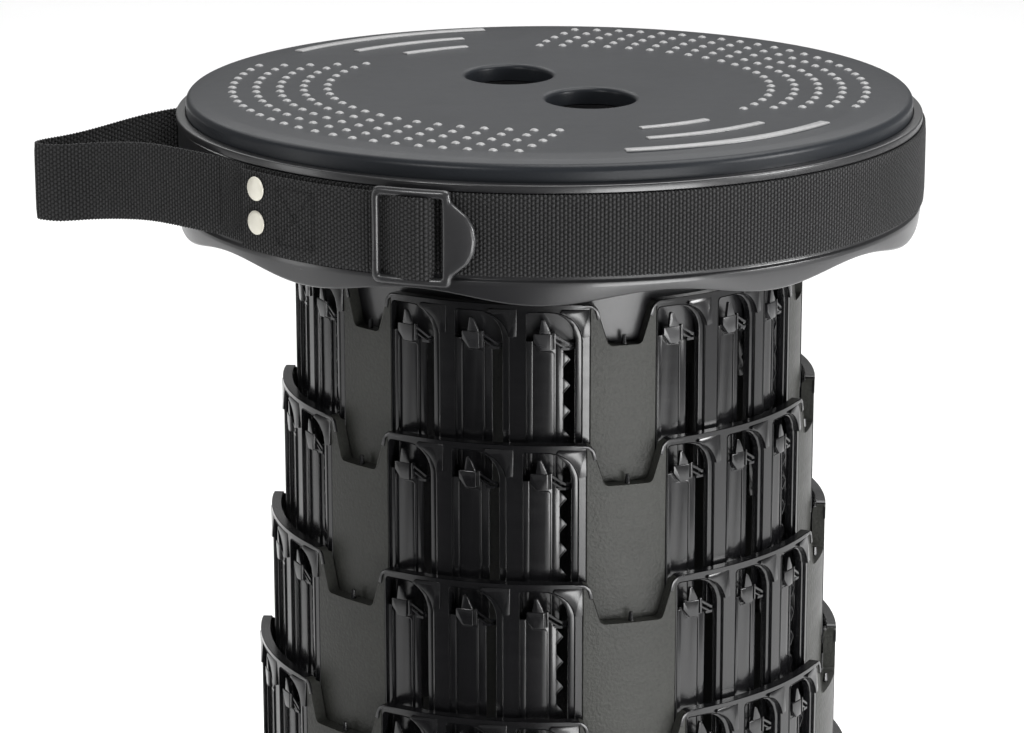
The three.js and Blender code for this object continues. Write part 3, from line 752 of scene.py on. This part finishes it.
for turn in (0, 180):
    for radius, middle, spread, width in LINES:
        raised_line(bm, radius, middle + turn, spread, width)
complete("cap_moulding", bm, "seat", [cap_plastic, grip_highlit_plastic], ["seat_cap"],
         lift=SEAT_Z)

# Strap: black ribbed polypropylene webbing, 26 mm wide, sewn and riveted into one band. It
# hugs the skirt, stands off at the left as the carrying handle, and has its own ribs.
STRAP_FOOT, STRAP_W, STRAP_T = 18.9, 25.6, 1.5
STRAP_R = 125.45
RIB, YARN = 1.23, 1.5  # one rib, and the length of a stitch of yarn along it
PUFF = 0.15  # a rib's rise
HANDLE_OUT, HANDLE_SAG = 40, 4
place, shader, webbing = finish("webbing_black", "UV", Sheen_Weight=0.05,
                                Sheen_Roughness=0.5, Specular_IOR_Level=0.2)
along, across = place.axis(0), place.axis(1)
rib = along * (1 / (RIB * MM))
number = along.maths("FLOOR", rib + 0.5)
ridge = along.maths("ABSOLUTE", along.maths("COSINE", rib * math.pi))
yarn = (across * (1 / (YARN * MM)) + number * 0.5) * math.pi
weave_and_highlight = ridge * along.maths("ABSOLUTE", along.maths("SINE", yarn))
fuzz = place.noise(1500, 4)
worn = place.noise(40, 3)
# The weave bumps the surface and also makes its colour paler on the crests of the ribs and yarns,
# a painted highlight; the fuzz and slow changes are random tone.
feed(
    shader,
    Base_Color=(weave_and_highlight * 0.9 + fuzz * 0.5 + worn * 0.2 - 0.35).mix(
        (0.001, 0.001, 0.001), (0.030, 0.030, 0.031)
    ),
    Roughness=fuzz * 0.25 + 0.55,
    Normal=(weave_and_highlight + fuzz * 0.5).relief(0.45),
)


def curve_through(points, steps):
    """Points of a smooth curve through all of them."""
    path = []
    for k in range(len(points) - 1):
        a, b, c, d = (points[min(max(j, 0), len(points) - 1)] for j in range(k - 1, k + 3))
        for j in range(steps):
            t = j / steps
            path.append(b + (c - a) * t / 2 + (a * 2 - b * 5 + c * 4 - d) * t * t / 2
                        + (b * 3 - a - c * 3 + d) * t ** 3 / 2)
    return path + [points[-1]]


def measured(points):
    """How far along a path each of its points lies."""
    reach = [0.0]
    for a, b in zip(points, points[1:]):
        reach.append(reach[-1] + (b - a).length)
    return reach


def evenly(points, reach, count):
    """The ends of so many even steps along a path."""
    at, spots = 0, []
    for j in range(count + 1):
        s = reach[-1] * j / count
        while at < len(points) - 2 and reach[at + 1] < s:
            at += 1
        share = (s - reach[at]) / (reach[at + 1] - reach[at])
        spots.append(points[at].lerp(points[at + 1], share))
    return spots


def band(name, path, closed, foot, sag, nodes):
    """Webbing whose middle follows a path of plan points, with a rib every RIB mm."""
    points = path + path[:1] if closed else path
    reach = measured(points)
    ribs = round(reach[-1] / RIB)
    count = 4 * ribs
    spots = evenly(points, reach, count)
    bm = bmesh.new()
    bmesh.ops.create_grid(bm, x_segments=count, y_segments=8, size=1)
    made = bmesh.ops.extrude_face_region(bm, geom=bm.faces[:])["geom"]
    near = {v for v in made if isinstance(v, bmesh.types.BMVert)}
    uv = bm.loops.layers.uv.new("weave")
    for face in bm.faces:
        for loop in face.loops:
            s, w = (loop.vert.co.x + 1) / 2, (loop.vert.co.y + 1) / 2
            loop[uv].uv = (s * ribs * RIB * MM, w * STRAP_W * MM)
    for vert in bm.verts:
        s, w = (vert.co.x + 1) / 2, vert.co.y
        j = round(s * count)
        if closed:
            run = spots[(j + 2) % count] - spots[(j - 2) % count]
        else:
            run = spots[min(j + 2, count)] - spots[max(j - 2, 0)]
        away = Vector((run.y, -run.x)).normalized()
        puff = math.cos(2 * math.pi * j / 4)
        thick = (STRAP_T / 2 - PUFF + PUFF * puff) * (1 - 0.35 * abs(w) ** 8)
        spot = spots[j] + away * (thick if vert in near else -thick)
        z = foot + STRAP_W * (w + 1) / 2 + 0.12 * puff * w ** 7
        vert.co = (spot.x, spot.y, z - sag(spot.x))
    complete(name, bm, "seat", [webbing], nodes, 60, SEAT_Z)


def drop(x):
    """How much lower the handle hangs, the further it stands off from the skirt."""
    share = min(max((-x - SEAT_R) / HANDLE_OUT, 0), 1)
    return HANDLE_SAG * share * share * (3 - 2 * share)


hug = [Vector(at_azimuth(STRAP_R, -50 + 2 * k)) for k in range(151)]
hug.append(Vector(at_azimuth(STRAP_R, 257)))
handle = [Vector((-SEAT_R - out, y)) for out, y in (
    (1, 10), (15, 0.5), (28, -10), (41, -20.5), (44.4, -27), (38.5, -31), (25, -34),
    (10, -43.5), (-4.5, -55),
)]
home = [Vector(at_azimuth(STRAP_R, -57))]
band("strap_webbing", hug + curve_through(handle, 12) + home, True, STRAP_FOOT, drop,
     ["strap_belt"])

# Lap: the strap's second layer, from the rivets to the buckle, where it goes up over the
# middle bar and back under it. It is sewn down beside the rivets with a crossed box.
LAP_R = STRAP_R + 1.8
LAP_DROP = 1
BUCKLE_R = 128.3
BAR_AT = -18.3  # azimuth of the buckle's middle bar
BOX = [(-42.5, 22.0), (-42.5, 40.0), (-35.5, 40.0), (-35.5, 22.0)]  # azimuth and height
STITCH = 2.5
lap = [Vector(at_azimuth(LAP_R, -50 + 0.9 * k)) for k in range(30)]
lap += [Vector(at_azimuth(radius, azimuth)) for radius, azimuth in (
    (LAP_R + 2.1, -22.3), (BUCKLE_R + 3, -20.4), (BUCKLE_R + 3.5, BAR_AT),
    (BUCKLE_R + 2.8, -17), (LAP_R + 2.1, -16.6), (LAP_R + 0.5, -17.1), (LAP_R, -18.4),
)]
band("lap_webbing", lap, False, STRAP_FOOT - LAP_DROP, lambda x: 0, ["strap_lap"])
place, shader, thread_black = finish("thread_black", Specular_IOR_Level=0.2)
feed(
    shader,
    Base_Color=place.noise(2500, 3).mix((0.003, 0.003, 0.003), (0.020, 0.020, 0.021)),
    Roughness=place.noise(900) * 0.2 + 0.55,
    Normal=place.noise(4000).relief(0.05),
)
bm = bmesh.new()
seams = list(zip(BOX, BOX[1:] + BOX[:1])) + [(BOX[0], BOX[2]), (BOX[1], BOX[3])]
for (a0, z0), (a1, z1) in seams:
    run, rise = (a1 - a0) * math.radians(1) * LAP_R, z1 - z0
    lean = math.atan2(rise, run)
    count = round(math.hypot(run, rise) / STITCH)
    for k in range(count):
        share = (k + 0.5) / count
        azimuth, z = a0 + (a1 - a0) * share, z0 + (z1 - z0) * share
        x, y = at_azimuth(LAP_R + STRAP_T / 2 - 0.02, azimuth)
        stitch = (
            Matrix.Translation((x, y, z)) @ Matrix.Rotation(math.radians(azimuth), 4, "Z")
            @ Matrix.Rotation(-lean, 4, "Y") @ Matrix.Diagonal((0.95, 0.22, 0.3, 1))
        )
        bmesh.ops.create_icosphere(bm, subdivisions=1, radius=1, matrix=stitch)
complete("lap_stitching", bm, "seat", [thread_black], [], 80, SEAT_Z)

# Buckle: a ladder lock of dark grey moulded plastic. Round bars frame it, a half-round tab
# on the right lifts it, and the lap goes over its middle bar. It is drawn flat, then bent.
BUCKLE_AT, BUCKLE_T = -19.6, 2.5
LOW, HIGH = 15.5, 46.0
HOLE_LOW, HOLE_HIGH = 18.4, 43.2
WIDE = 13.2
BAR = 2  # half of the middle bar's width
CENTRE = Vector((0.0, 30.7))
TAB = [(13.0, 42.4), (15.3, 40.5), (18.4, 38.0), (20.3, 34.7), (21.0, 30.7), (20.4, 26.7),
       (18.5, 23.4), (15.3, 20.7), (13.2, 19.1)]
buckle_plastic = moulded("buckle_grey", (0.012, 0.012, 0.013), (0.024, 0.024, 0.025),
                         roughness=0.28, grain=700, depth=0.03)


def seen_from(centre, outline, count=160):
    """Points of an outline, one in each of so many directions from a centre."""
    points = []
    for k in range(count):
        away = Vector((math.cos(2 * math.pi * k / count), math.sin(2 * math.pi * k / count)))
        for a, b in zip(outline, outline[1:] + outline[:1]):
            side_a, side_b = away.cross(a - centre), away.cross(b - centre)
            if side_a <= 0 < side_b:
                points.append(a.lerp(b, side_a / (side_a - side_b)))
                break
    return points


outside = seen_from(CENTRE, eased(
    [(-WIDE, LOW, 2.6), (12.6, LOW, 1.6)] + [(*point, 2.0) for point in TAB[::-1]]
    + [(12.6, HIGH, 1.6), (-WIDE, HIGH, 2.6)], closed=True
))
inside = seen_from(CENTRE, eased([
    (2.6 - WIDE, HOLE_LOW, 0.6), (WIDE - 3, HOLE_LOW, 0.6), (WIDE - 3, HOLE_HIGH, 0.6),
    (2.6 - WIDE, HOLE_HIGH, 0.6),
], closed=True))
bm = bmesh.new()
loops = []
# The bars' section: below zero it is counted from the inside outline, above from the outside.
for inwards, depth in (
    (0.0, 1.5), (0.08, 0.85), (0.45, 0.3), (1.2, 0.0), (-1.2, 0.0), (-0.45, 0.3), (-0.08, 0.85),
    (-0.0001, 1.6), (-0.2, 2.3), (-0.7, BUCKLE_T), (0.7, BUCKLE_T), (0.2, 2.3),
):
    verts = []
    for o, i in zip(outside, inside):
        reach = (i - o).length
        share = inwards / reach if inwards >= 0 else 1 + inwards / reach
        spot = o.lerp(i, min(max(share, 0), 1))
        verts.append(bm.verts.new((spot.x, depth, spot.y)))
    loops.append([bm.edges.new(pair) for pair in zip(verts, verts[1:] + verts[:1])])
for loop, following in zip(loops, loops[1:] + loops[:1]):
    bmesh.ops.bridge_loops(bm, edges=loop + following)
bar_at = math.radians(BAR_AT - BUCKLE_AT) * BUCKLE_R
slab(bm, eased([
    (bar_at - BAR, LOW + 1, 0), (bar_at + BAR, LOW + 1, 0), (bar_at + BAR, HIGH - 1, 0),
    (bar_at - BAR, HIGH - 1, 0),
], closed=True), 0.6, BUCKLE_T, 0.7)
bend(bm, BUCKLE_R + BUCKLE_T, BUCKLE_AT)
complete("buckle_moulding", bm, "seat", [buckle_plastic], ["buckle"], 40, SEAT_Z)

# Rivets: two plated steel domes through the lap, the strap and the skirt, each closed over
# a flat tail inside.
RIVET_AT, RIVET_FOOT = -46.5, 120.6  # azimuth, and the tail's distance from the axis
DOME_R, DOME_UP, DOME_FOOT = 3.9, 1.1, 7.7
place, shader, rivet_metal = finish("rivet_nickel", Metallic=0.15)
feed(
    shader,
    Base_Color=place.noise(160, 4).mix((0.50, 0.48, 0.41), (0.66, 0.64, 0.56)),
    Roughness=place.noise(900, 3) * 0.2 + 0.3,
    Normal=place.noise(600, 3).relief(0.05),
)
for name, z in (("lower", 27.5), ("upper", 38.4)):
    bm = bmesh.new()
    shank = eased([
        (0, 0, 0), (2.6, 0, 0.3), (2.6, 0.8, 0.2), (1.3, 0.8, 0), (1.3, 7.4, 0),
        (3.6, 7.4, 0.15), (DOME_R, DOME_FOOT, 0.1),
    ])
    turns = [math.radians(t) for t in range(80, -1, -10)]
    dome = [Vector((DOME_R * math.sin(t), DOME_FOOT + DOME_UP * math.cos(t))) for t in turns]
    turned(bm, shank + dome, 40)
    turn = Matrix.Rotation(math.radians(RIVET_AT), 4, "Z")
    turn = turn @ Matrix.Translation((0, -RIVET_FOOT, z)) @ Matrix.Rotation(math.pi / 2, 4, "X")
    bmesh.ops.transform(bm, verts=bm.verts, matrix=turn)
    complete(f"rivet_dome_{name}", bm, "seat", [rivet_metal], [f"rivet_{name}"],
             lift=SEAT_Z)

# Floor: a plain pale sheet that runs out of sight under and behind the stool, so that the
# picture has no horizon. It isn't part of the stool.
FLOOR_HALF = 9  # metres, as are all lengths from here on
place, shader, paper = finish("paper_white")
feed(shader, Base_Color=place.noise(3).mix((0.93, 0.93, 0.93), (0.96, 0.96, 0.96)),
     Roughness=place.noise(2) * 0.1 + 0.6)


def sheet_on_floor(name, bm, material):
    """Makes a flat mesh drawn in metres an object."""
    mesh = bpy.data.meshes.new(name)
    bm.to_mesh(mesh)
    bm.free()
    mesh.materials.append(material)
    sheet = bpy.data.objects.new(name, mesh)
    bpy.context.scene.collection.objects.link(sheet)
    return sheet


bm = bmesh.new()
bmesh.ops.create_grid(bm, x_segments=4, y_segments=4, size=FLOOR_HALF)
floor = sheet_on_floor("floor", bm, paper)

# Light: a dim room with soft lamps, as for a picture of a black thing on white. A wide one
# whitens the floor behind, a low one at the right shows the grain of the front panels, and
# none of them is seen by the camera.
ROOM_LIGHT = 0.22
world = bpy.data.worlds.new("dim_room")
world.use_nodes = True
world.node_tree.nodes["Background"].inputs["Color"].default_value = (1, 1, 1, 1)
world.node_tree.nodes["Background"].inputs["Strength"].default_value = ROOM_LIGHT
bpy.context.scene.world = world
bpy.context.scene.view_settings.view_transform = "Standard"
for name, spot, aim, wide, tall, watts in (
    ("lamp_back", (0, 2.1, 1.8), (0, 2.1, 0), 3.4, 3.0, 58),
    ("lamp_over", (0.4, 0.0, 1.6), (0, 0, 0.42), 0.8, 1.1, 22),
    ("lamp_low", (0.45, -0.88, 0.16), (0, 0, 0.3), 0.55, 0.28, 6),
    ("lamp_left", (-1.2, -0.25, 0.5), (0, 0, 0.2), 0.35, 0.9, 3),
    ("lamp_right", (1.12, -0.44, 0.58), (-0.07, -0.06, 0.3), 0.45, 0.4, 14),
    ("lamp_rims", (-0.55, -0.8, 0.95), (0, 0, 0.25), 0.25, 0.2, 4),
):
    lamp = bpy.data.lights.new(name, "AREA")
    lamp.shape, lamp.size, lamp.size_y, lamp.energy = "RECTANGLE", wide, tall, watts
    hung = bpy.data.objects.new(name, lamp)
    hung.location = spot
    hung.rotation_euler = (Vector(aim) - Vector(spot)).to_track_quat("-Z", "Y").to_euler()
    hung.visible_camera = False
    bpy.context.scene.collection.objects.link(hung)

# Black card: lies on the floor in front, out of the picture, so that the glossy rings have
# something dark to mirror, as a black thing is lit for a picture. Only reflections show it,
# and it isn't part of the stool.
CARD_NEAR, CARD_FAR, CARD_SIDE = 0.32, 2.2, -52
CARD_T = 0.002
place, shader, felt = finish("felt_black")
feed(shader, Base_Color=place.noise(50).mix((0.001, 0.001, 0.001), (0.003, 0.003, 0.003)),
     Roughness=place.noise(40) * 0.1 + 0.85)
bm = bmesh.new()
bm.faces.new([bm.verts.new((*at_azimuth(away, azimuth), CARD_T)) for away, azimuth in (
    (CARD_NEAR, CARD_SIDE), (CARD_NEAR, 0), (CARD_FAR, 0), (CARD_FAR, CARD_SIDE),
)])
card = sheet_on_floor("black_card", bm, felt)
card.visible_camera = card.visible_shadow = card.visible_diffuse = False

# Camera: a long lens in front of the stool, a little above the seat, as in the photograph.
# Its place and angles were fitted to the ellipses of the seat and the rings.
PICTURE_W, FOCAL_PIXELS = 1024, 3709.2
TILT, ROLL = 0.26726, -0.00133
lens = bpy.data.cameras.new("camera")
lens.sensor_width = 36
lens.lens = FOCAL_PIXELS / PICTURE_W * lens.sensor_width
lens.clip_start, lens.clip_end = 0.05, 60
camera = bpy.data.objects.new("camera", lens)
camera.location = (-0.012584, -1.22611, 0.67358)
camera.rotation_euler = (math.pi / 2 - TILT, 0, 0)
camera.rotation_euler.rotate_axis("Z", ROLL)
bpy.context.scene.collection.objects.link(camera)
bpy.context.scene.camera = camera
